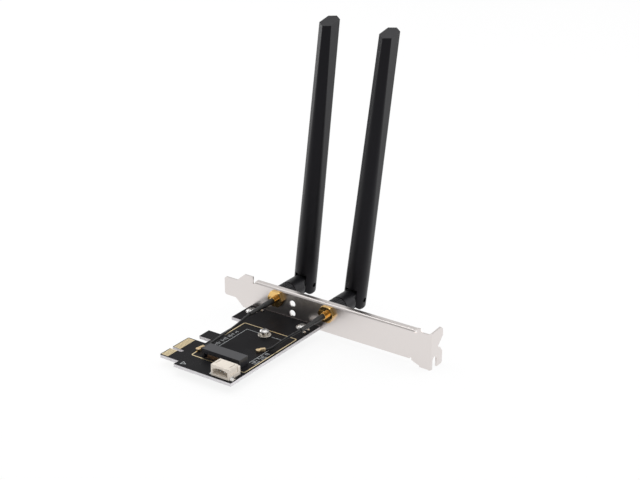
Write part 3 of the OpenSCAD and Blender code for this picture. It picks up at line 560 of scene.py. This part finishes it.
def islands(node):
    """The lowest and highest corners of each separate solid of a CAD node."""
    form = bmesh.new()
    form.from_mesh(frame["nodes"][node].data)
    bmesh.ops.remove_doubles(form, verts=form.verts, dist=SAME_POINT)
    waiting, boxes = set(form.verts), []
    while waiting:
        reached, group = [waiting.pop()], []
        while reached:
            vert = reached.pop()
            group.append(vert.co)
            for edge in vert.link_edges:
                other = edge.other_vert(vert)
                if other in waiting:
                    waiting.remove(other)
                    reached.append(other)
        boxes.append(tuple(Vector(pick(axis) for axis in zip(*group)) for pick in (min, max)))
    form.free()
    return sorted(boxes, key=lambda box: tuple(box[0]))


def refinish(node, finish):
    """Gives a CAD node that stays as it is its own finish."""
    mesh = frame["nodes"][node].data
    mesh.materials.clear()
    mesh.materials.append(finish_named(finish))
    for face in mesh.polygons:
        face.material_index = 0


def merge(form, part):
    """Moves a part's faces into a form, and frees the part."""
    mesh = bpy.data.meshes.new("part")
    part.to_mesh(mesh)
    part.free()
    form.from_mesh(mesh)
    bpy.data.meshes.remove(mesh)


def add_box(form, low, high):
    """Adds a box between two corners."""
    low, high = Vector(low), Vector(high)
    place = Matrix.Translation((low + high) / 2) @ Matrix.Diagonal((*(high - low), 1))
    bmesh.ops.create_cube(form, size=1, matrix=place)


def add_rings(form, rings):
    """Adds a closed skin through rings that have as many points each."""
    rows = [[form.verts.new(point) for point in ring] for ring in rings]
    for first, second in zip(rows, rows[1:]):
        for i in range(len(first)):
            form.faces.new((first[i - 1], first[i], second[i], second[i - 1]))
    form.faces.new(list(reversed(rows[0])))
    form.faces.new(rows[-1])
    bmesh.ops.remove_doubles(form, verts=form.verts, dist=SAME_POINT)


def add_rod(form, start, end, radius, steps=32):
    """Adds a closed cylinder between two points."""
    start, end = Vector(start), Vector(end)
    turn = (end - start).to_track_quat("Z", "Y")
    circle = [Vector((radius * math.cos(a), radius * math.sin(a), 0))
              for a in (2 * math.pi * i / steps for i in range(steps))]
    add_rings(form, [[centre + turn @ p for p in circle] for centre in (start, end)])


def carve(piece, form):
    """Cuts a form, which it frees, out of a piece for good."""
    bmesh.ops.recalc_face_normals(form, faces=form.faces)
    mesh = bpy.data.meshes.new("cutter")
    form.to_mesh(mesh)
    form.free()
    cutter = bpy.data.objects.new("cutter", mesh)
    bpy.context.scene.collection.objects.link(cutter)
    cut = piece.modifiers.new("cut", "BOOLEAN")
    cut.operation, cut.solver, cut.object = "DIFFERENCE", "EXACT", cutter
    bpy.context.view_layer.update()
    shaped = piece.evaluated_get(bpy.context.evaluated_depsgraph_get())
    result = bpy.data.meshes.new_from_object(shaped)
    piece.modifiers.clear()
    piece.data = result
    bpy.data.objects.remove(cutter)


class WIRELESSCARD_OT_camera(bpy.types.Operator):
    """Places the camera at the photograph's viewing angle"""
    bl_idname = "wireless_card.camera"
    bl_label = "Place Camera"

    def execute(self, context):
        stage = context.scene.card_stage
        camera = bpy.data.objects.new("camera", bpy.data.cameras.new("camera"))
        context.scene.collection.objects.link(camera)
        camera.data.lens = stage.focal_length
        camera.data.sensor_width = SENSOR_WIDTH
        flat = math.cos(stage.elevation)
        back = Vector((math.sin(stage.azimuth) * flat, -math.cos(stage.azimuth) * flat,
                       math.sin(stage.elevation)))
        turn = (-back).to_track_quat("-Z", "Y").to_matrix() @ Matrix.Rotation(stage.roll, 3, "Z")
        place = Vector((stage.camera_x, -stage.camera_back, stage.camera_z))
        camera.matrix_world = Matrix.LocRotScale(place, turn, None)
        context.scene.camera = camera
        return {"FINISHED"}


class WIRELESSCARD_OT_leads(bpy.types.Operator):
    """Makes the two coaxial leads with their micro plugs"""
    bl_idname = "wireless_card.leads"
    bl_label = "Make Leads"

    def execute(self, context):
        leads = context.scene.card_leads
        for side in SIDES:
            plug = dress_node(side + "_micro_plug", side + "_lead_plug", "micro_plug", edge=0.00008)
            curve = bpy.data.curves.new(side + "_lead", "CURVE")
            curve.dimensions = "3D"
            curve.bevel_depth = leads.coax_diameter / 2
            curve.bevel_resolution = 5
            curve.resolution_u = 8
            curve.use_fill_caps = True
            line = curve.splines.new("BEZIER")
            line.bezier_points.add(len(ROUTES[side]) - 1)
            for point, place in zip(line.bezier_points, ROUTES[side]):
                point.co = place
                point.handle_left_type = point.handle_right_type = "AUTO"
            curve.materials.append(finish_named("jacket"))
            lead = bpy.data.objects.new(side + "_lead", curve)
            context.scene.collection.objects.link(lead)
            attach(lead, "card")
            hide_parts(side + "_coax")
            dress_node(side + "_shrink", side + "_sleeve", "sleeve", edge=0.00015)
        return {"FINISHED"}


class WIRELESSCARD_OT_board(bpy.types.Operator):
    """Finishes the board with its contacts, plated band, print and chips"""
    bl_idname = "wireless_card.board"
    bl_label = "Finish Board"

    def execute(self, context):
        board = context.scene.card_board
        dress_node("pcb", "board", "mask", edge=0.00004)
        refinish("edge_contacts", "contact")
        refinish("ground_trace", "contact")
        refinish("board_print", "legend")
        refinish("screw_lands", "tin")
        self.make_chips()
        self.make_marks(board)
        return {"FINISHED"}

    @staticmethod
    def make_chips():
        """Chips with a ceramic body between tinned ends."""
        body, ends = bmesh.new(), bmesh.new()
        for low, high in islands("chip_capacitors"):
            size = high - low
            long_way = 0 if size.x > size.y else 1
            cap, rest = Vector((0, 0, 0)), Vector((0, 0, 0))
            cap[long_way] = size[long_way] * CHIP_END
            rest[long_way] = size[long_way] * (1 - CHIP_END)
            inset = Vector((CHIP_INSET, CHIP_INSET, CHIP_INSET))
            part = bmesh.new()
            add_box(part, low + cap * CHIP_COVER + inset, high - cap * CHIP_COVER - inset)
            soften(part, CHIP_INSET)
            merge(body, part)
            for start, end in ((low, high - rest), (low + rest, high)):
                part = bmesh.new()
                add_box(part, start, end)
                soften(part, 2 * CHIP_INSET, 3)
                merge(ends, part)
        chips = piece_from("chips", body, "card", "ceramic", replaces=("chip_capacitors",))
        tinned = piece_from("chip_ends", ends, "card", "tin")
        tinned.parent = chips

    @staticmethod
    def make_marks(board):
        """Plain printed dashes beside the module's outline."""
        top = board.thickness / 2
        marks = bmesh.new()
        for x, start, count in DASH_ROWS:
            for i in range(count):
                if i % DASH_WORD == DASH_WORD - 1:
                    continue
                reach = DASH_REACH + DASH_STEP * ((i * 7) % 3)
                y = start + DASH_PITCH * i
                add_box(marks, (x - reach, y - DASH_HALF_WIDTH, top - INK_DEPTH),
                        (x + reach, y + DASH_HALF_WIDTH, top + INK_HEIGHT))
        piece_from("print_marks", marks, "card", "legend")


class WIRELESSCARD_OT_bracket(bpy.types.Operator):
    """Finishes the bracket and the screws that hold the board to it"""
    bl_idname = "wireless_card.bracket"
    bl_label = "Finish Bracket"

    def execute(self, context):
        dress_node("bracket", "bracket_sheet", "nickel", edge=context.scene.card_metal.sheet_edge, sharp=30)
        dress_node("board_screws", "board_screw_heads", "steel", edge=0.00006)
        return {"FINISHED"}


class WIRELESSCARD_OT_module_socket(bpy.types.Operator):
    """Finishes the module socket, its contacts, and the standoff with its screw"""
    bl_idname = "wireless_card.module_socket"
    bl_label = "Finish Module Socket"

    def execute(self, context):
        dress_node("m2_socket", "socket_body", "socket", edge=0.00012)
        refinish("m2_socket_contacts", "spring")
        dress_node("m2_standoff", "standoff", "standoff", edge=0.0001)
        dress_node("m2_screw", "module_screw", "steel", edge=0.00006)
        return {"FINISHED"}


class WIRELESSCARD_OT_cable_header(bpy.types.Operator):
    """Finishes the cable header, its pins and its solder tabs"""
    bl_idname = "wireless_card.cable_header"
    bl_label = "Finish Cable Header"

    def execute(self, context):
        dress_node("cable_header", "header_body", "nylon", edge=0.00015)
        dress_node("header_pins", "header_pin_row", "tin", edge=0.00004)
        dress_node("header_tabs", "header_side_tabs", "tin", edge=0.00004)
        return {"FINISHED"}


class WIRELESSCARD_OT_jacks(bpy.types.Operator):
    """Finishes the jacks, their washers and nuts, and the antennas' plugs"""
    bl_idname = "wireless_card.jacks"
    bl_label = "Finish Jacks"

    def execute(self, context):
        for side in SIDES:
            dress_node(side + "_jack", side + "_jack_body", "gold", edge=0.0001)
            dress_node(side + "_coupling_nut", side + "_nut_sleeve", "gold", edge=0.00008)
            dress_node(side + "_plug", side + "_plug_body", "gold", edge=0.00006)
            refinish(side + "_jack_contact", "gold")
            refinish(side + "_plug_pin", "gold")
            refinish(side + "_jack_insulator", "insulator")
            refinish(side + "_plug_insulator", "insulator")
        dress_node("jack_washers", "lock_washers", "gold", edge=0.00005)
        dress_node("jack_nuts", "outer_nuts", "gold", edge=0.00012)
        return {"FINISHED"}


def hinge_frame(side):
    """From a blade's own frame, with its hinge at the origin and its length along Z, to the row frame."""
    fold = next(joint for joint in frame["joints"] if joint["name"] == side + "_fold")
    across = Vector(fold["axis"]).normalized()
    out = Vector((0, 1, 0))
    turn = Matrix((across, out, across.cross(out))).transposed()
    return Matrix.Translation(fold["pos_m"]) @ turn.to_4x4()


def section(share, corners, radius, steps, z):
    """Ring of points: a circle at share 0, and the six-sided tip's corners at share 1."""
    ring = []
    for i, corner in enumerate(corners):
        before, after = corner - corners[i - 1], corners[(i + 1) % len(corners)] - corner
        start = math.atan2(-before.x, before.y)
        sweep = (math.atan2(-after.x, after.y) - start) % (2 * math.pi)
        for k in range(steps):
            angle = start + sweep * k / (steps - 1)
            reach = radius * (1 - share)
            ring.append(Vector((corner.x * share + reach * math.cos(angle),
                                corner.y * share + reach * math.sin(angle), z)))
    return ring


def tip_corners(sizes):
    """The corners of the six-sided tip, seen along the blade."""
    half_x, half_y, far = sizes.tip_thickness / 2, sizes.tip_side / 2, sizes.blade_diameter / 2
    return [Vector(c) for c in ((half_x, -half_y), (half_x, half_y), (0, far),
                                (-half_x, half_y), (-half_x, -half_y), (0, -far))]


def tip_rise(sizes):
    """How far the slanted tip rises over half its width."""
    return sizes.blade_diameter / 2 * math.tan(sizes.tip_slant)


def tip_height(sizes):
    """Where the slanted tip crosses the blade's own axis, over the hinge."""
    return sizes.blade_length - tip_rise(sizes) - OVERRUN / 2


def blade_skin(sizes):
    """A blade's outer form: a round foot that turns along its length into the six-sided, slanted tip."""
    radius = sizes.blade_diameter / 2
    foot = -sizes.fork_reach - OVERRUN
    rings = []
    for k in range(FOOT_RINGS + 1):
        angle = math.pi / 2 * k / FOOT_RINGS
        z = foot + sizes.foot_rounding * (1 - math.cos(angle))
        rings.append((0, radius - sizes.foot_rounding * (1 - math.sin(angle)), z))
    rings += [(0, radius, sizes.base_length / 2), (0, radius, sizes.base_length)]
    span = sizes.blade_length - sizes.base_length
    for k in range(1, LOFT_RINGS + 1):
        share = k / LOFT_RINGS
        rings.append((share * (1 - sizes.corner), radius, sizes.base_length + span * share))
    corners = tip_corners(sizes)
    form = bmesh.new()
    add_rings(form, [section(share, corners, reach, sizes.arc_steps, z) for share, reach, z in rings])
    plane = Vector((0, -math.sin(sizes.tip_slant), math.cos(sizes.tip_slant)))
    cut = bmesh.ops.bisect_plane(form, geom=form.verts[:] + form.edges[:] + form.faces[:],
                                 plane_co=(0, 0, tip_height(sizes)), plane_no=plane, clear_outer=True)
    rim = [e for e in cut["geom_cut"] if isinstance(e, bmesh.types.BMEdge)]
    bmesh.ops.contextual_create(form, geom=rim)
    return form


def slot_cutter(sizes):
    """What is cut from the fork's slot."""
    half, wide = sizes.slot_width / 2, sizes.blade_diameter
    form = bmesh.new()
    add_box(form, (-half, -wide, -wide), (half, wide, sizes.slot_top))
    return form


def hole_cutter(sizes):
    """What is cut from the hinge holes."""
    wide = sizes.blade_diameter
    form = bmesh.new()
    add_rod(form, (-wide, 0, 0), (wide, 0, 0), sizes.boss_hole / 2)
    return form


def end_cutter(sizes):
    """What is cut from under the fork's round end."""
    wide = sizes.blade_diameter
    centre = sizes.blade_diameter / 2 + OVERRUN / 2 - sizes.fork_reach
    radius = centre + sizes.fork_reach
    arc = [(radius * math.cos(a), centre - radius * math.sin(a))
           for a in (math.pi * i / END_STEPS for i in range(END_STEPS + 1))]
    outline = [(wide, centre)] + arc + [(-wide, centre), (-wide, -wide), (wide, -wide)]
    form = bmesh.new()
    add_rings(form, [[Vector((x, y, z)) for y, z in outline] for x in (-wide, wide)])
    return form


def hollow_cutter(sizes):
    """What is cut from inside a blade, to one and a half walls of its sides and two of its tip."""
    narrowed = 1 - sizes.wall / (sizes.tip_thickness / 2)
    inner = [Vector((c.x * narrowed, c.y * HOLLOW_DEPTH)) for c in tip_corners(sizes)]
    radius = sizes.blade_diameter / 2 - 1.5 * sizes.wall
    bottom = sizes.slot_top + sizes.wall
    top = tip_height(sizes) - tip_rise(sizes) - 2 * sizes.wall
    form = bmesh.new()
    add_rings(form, [section(share, inner, radius, sizes.arc_steps, z)
                     for share, z in ((0, bottom), (1 - sizes.corner, top))])
    return form


def on_fork(edge, sizes):
    """Whether an edge is a sharp one of the fork."""
    lowest = min(vert.co.z for vert in edge.verts)
    return is_sharp(edge) and lowest < sizes.slot_top + OVERRUN


def on_tip(edge, sizes):
    """Whether an edge lies on the slanted tip's rim."""
    height, slope = tip_height(sizes), math.tan(sizes.tip_slant)
    return edge.is_manifold and all(abs(v.co.z - height - v.co.y * slope) < RIM_BAND for v in edge.verts)


def make_blade(sizes, side):
    """A blade with its slot, hinge holes, round end and hollow, its edges rounded, set on its hinge."""
    blade = piece_from(side + "_blade_shell", blade_skin(sizes), side + "_blade_body",
                       "antenna", replaces=(side + "_blade",))
    for cutter in (slot_cutter, hole_cutter, end_cutter, hollow_cutter):
        carve(blade, cutter(sizes))
    form = bmesh.new()
    form.from_mesh(blade.data)
    bmesh.ops.remove_doubles(form, verts=form.verts, dist=SAME_POINT)
    edges = [edge for edge in form.edges if on_fork(edge, sizes) or on_tip(edge, sizes)]
    round_edges(form, edges, BLADE_EDGE)
    form.transform(hinge_frame(side))
    form.to_mesh(blade.data)
    form.free()
    blade.data.shade_smooth()
    blade.data.set_sharp_from_angle(angle=math.radians(30))
    keep_faces_flat(blade)


class WIRELESSCARD_OT_antennas(bpy.types.Operator):
    """Makes the two blades and finishes the elbows, collars and radiators"""
    bl_idname = "wireless_card.antennas"
    bl_label = "Make Antennas"

    def execute(self, context):
        for side in SIDES:
            make_blade(context.scene.card_antenna, side)
            dress_node(side + "_elbow", side + "_elbow_body_shell", "antenna", edge=0.00025)
            dress_node(side + "_collar", side + "_collar_ring", "antenna", edge=0.00006, sharp=12)
            refinish(side + "_radiator", "radiator")
            refinish(side + "_feed", "jacket")
        return {"FINISHED"}


def background_rays(finish):
    """A factor of 1 for the rays that show the background: the camera's, and those in gloss and glass."""
    path = add_node(finish, "ShaderNodeLightPath")
    seen = path.outputs["Is Camera Ray"]
    for name in ("Is Glossy Ray", "Is Transmission Ray"):
        seen = arithmetic(finish, "MAXIMUM", seen, path.outputs[name])
    return seen


class WIRELESSCARD_OT_stage(bpy.types.Operator):
    """Sets the floor, the lamps and the background"""
    bl_idname = "wireless_card.stage"
    bl_label = "Set Stage"

    def execute(self, context):
        stage = context.scene.card_stage
        context.scene.view_settings.view_transform = "Standard"
        self.lay_floor(stage)
        self.fill_world(context.scene, stage)
        for name, (place, target, size, power) in LAMPS.items():
            self.add_lamp(name, place, target, size, power)
        return {"FINISHED"}

    @staticmethod
    def lay_floor(stage):
        """A pale floor that is clear from below."""
        half = stage.floor_size / 2
        form = bmesh.new()
        z = CAD_BOX[0].z - FLOOR_GAP
        form.faces.new([form.verts.new(p) for p in ((-half, -half, z), (half, -half, z),
                                                    (half, half, z), (-half, half, z))])
        mesh = bpy.data.meshes.new("floor")
        form.to_mesh(mesh)
        form.free()
        floor = bpy.data.objects.new("floor", mesh)
        bpy.context.scene.collection.objects.link(floor)
        finish = new_finish("studio_floor", stage.floor_color, 0.9, gloss=0.1)
        glow = add_node(finish, "ShaderNodeEmission", Strength=1.0)
        whitened = add_node(finish, "ShaderNodeMixShader")
        share = arithmetic(finish, "MULTIPLY", background_rays(finish), stage.floor_white)
        join(finish, share, whitened.inputs[0])
        join(finish, shader_of(finish).outputs[0], whitened.inputs[1])
        join(finish, glow.outputs[0], whitened.inputs[2])
        seen = add_node(finish, "ShaderNodeNewGeometry")
        clear = add_node(finish, "ShaderNodeBsdfTransparent")
        mix = add_node(finish, "ShaderNodeMixShader")
        join(finish, seen.outputs["Backfacing"], mix.inputs[0])
        join(finish, whitened.outputs[0], mix.inputs[1])
        join(finish, clear.outputs[0], mix.inputs[2])
        join(finish, mix.outputs[0], finish.node_tree.nodes["Material Output"].inputs["Surface"])
        mesh.materials.append(finish)

    @staticmethod
    def fill_world(scene, stage):
        """White to the camera, pale in gloss with a dark side behind the camera, and even as light."""
        world = bpy.data.worlds.new("studio")
        scene.world = world
        world.use_nodes = True
        sky = world.node_tree.nodes["Background"]
        sky.inputs["Color"].default_value = (1, 1, 1, 1)
        coords = add_node(world, "ShaderNodeTexCoord")
        toward = add_node(world, "ShaderNodeVectorMath")
        toward.operation = "DOT_PRODUCT"
        toward.inputs[1].default_value = (math.sin(stage.azimuth), -math.cos(stage.azimuth), 0)
        join(world, coords.outputs["Generated"], toward.inputs[0])
        shown = between(world, toward.outputs["Value"], stage.sky_seen, stage.sky_behind, end=DARK_CORE)
        strength = between(world, background_rays(world), stage.sky, shown)
        camera_rays = add_node(world, "ShaderNodeLightPath").outputs["Is Camera Ray"]
        join(world, arithmetic(world, "MAXIMUM", strength, camera_rays), sky.inputs["Strength"])

    @staticmethod
    def add_lamp(name, place, target, size, power):
        """A square soft box that looks at a point."""
        data = bpy.data.lights.new(name, "AREA")
        data.shape = "SQUARE"
        data.size = size
        data.energy = power
        lamp = bpy.data.objects.new(name, data)
        bpy.context.scene.collection.objects.link(lamp)
        aim = (Vector(target) - Vector(place)).to_track_quat("-Z", "Y")
        lamp.matrix_world = Matrix.LocRotScale(Vector(place), aim, None)
        lamp.visible_camera = False


OPERATORS = (
    WIRELESSCARD_OT_camera,
    WIRELESSCARD_OT_leads,
    WIRELESSCARD_OT_board,
    WIRELESSCARD_OT_bracket,
    WIRELESSCARD_OT_module_socket,
    WIRELESSCARD_OT_cable_header,
    WIRELESSCARD_OT_jacks,
    WIRELESSCARD_OT_antennas,
    WIRELESSCARD_OT_stage,
)


class WIRELESSCARD_PT_panel(bpy.types.Panel):
    """Lists the card's pieces and their sizes"""
    bl_idname = "WIRELESSCARD_PT_panel"
    bl_label = "Wireless Card"
    bl_space_type = "VIEW_3D"
    bl_region_type = "UI"
    bl_category = "Wireless Card"

    def draw(self, context):
        for operator in OPERATORS:
            self.layout.operator(operator.bl_idname)
        for name, group in GROUPS.items():
            box = self.layout.box()
            for field in group.__annotations__:
                box.prop(getattr(context.scene, name), field)


def register():
    for name, group in GROUPS.items():
        bpy.utils.register_class(group)
        setattr(bpy.types.Scene, name, PointerProperty(type=group))
    for operator in OPERATORS:
        bpy.utils.register_class(operator)
    bpy.utils.register_class(WIRELESSCARD_PT_panel)


def unregister():
    bpy.utils.unregister_class(WIRELESSCARD_PT_panel)
    for operator in reversed(OPERATORS):
        bpy.utils.unregister_class(operator)
    for name, group in reversed(GROUPS.items()):
        delattr(bpy.types.Scene, name)
        bpy.utils.unregister_class(group)


def main():
    register()
    for operator in OPERATORS:
        group, action = operator.bl_idname.split(".")
        getattr(getattr(bpy.ops, group), action)()


if __name__ == "__main__":
    main()
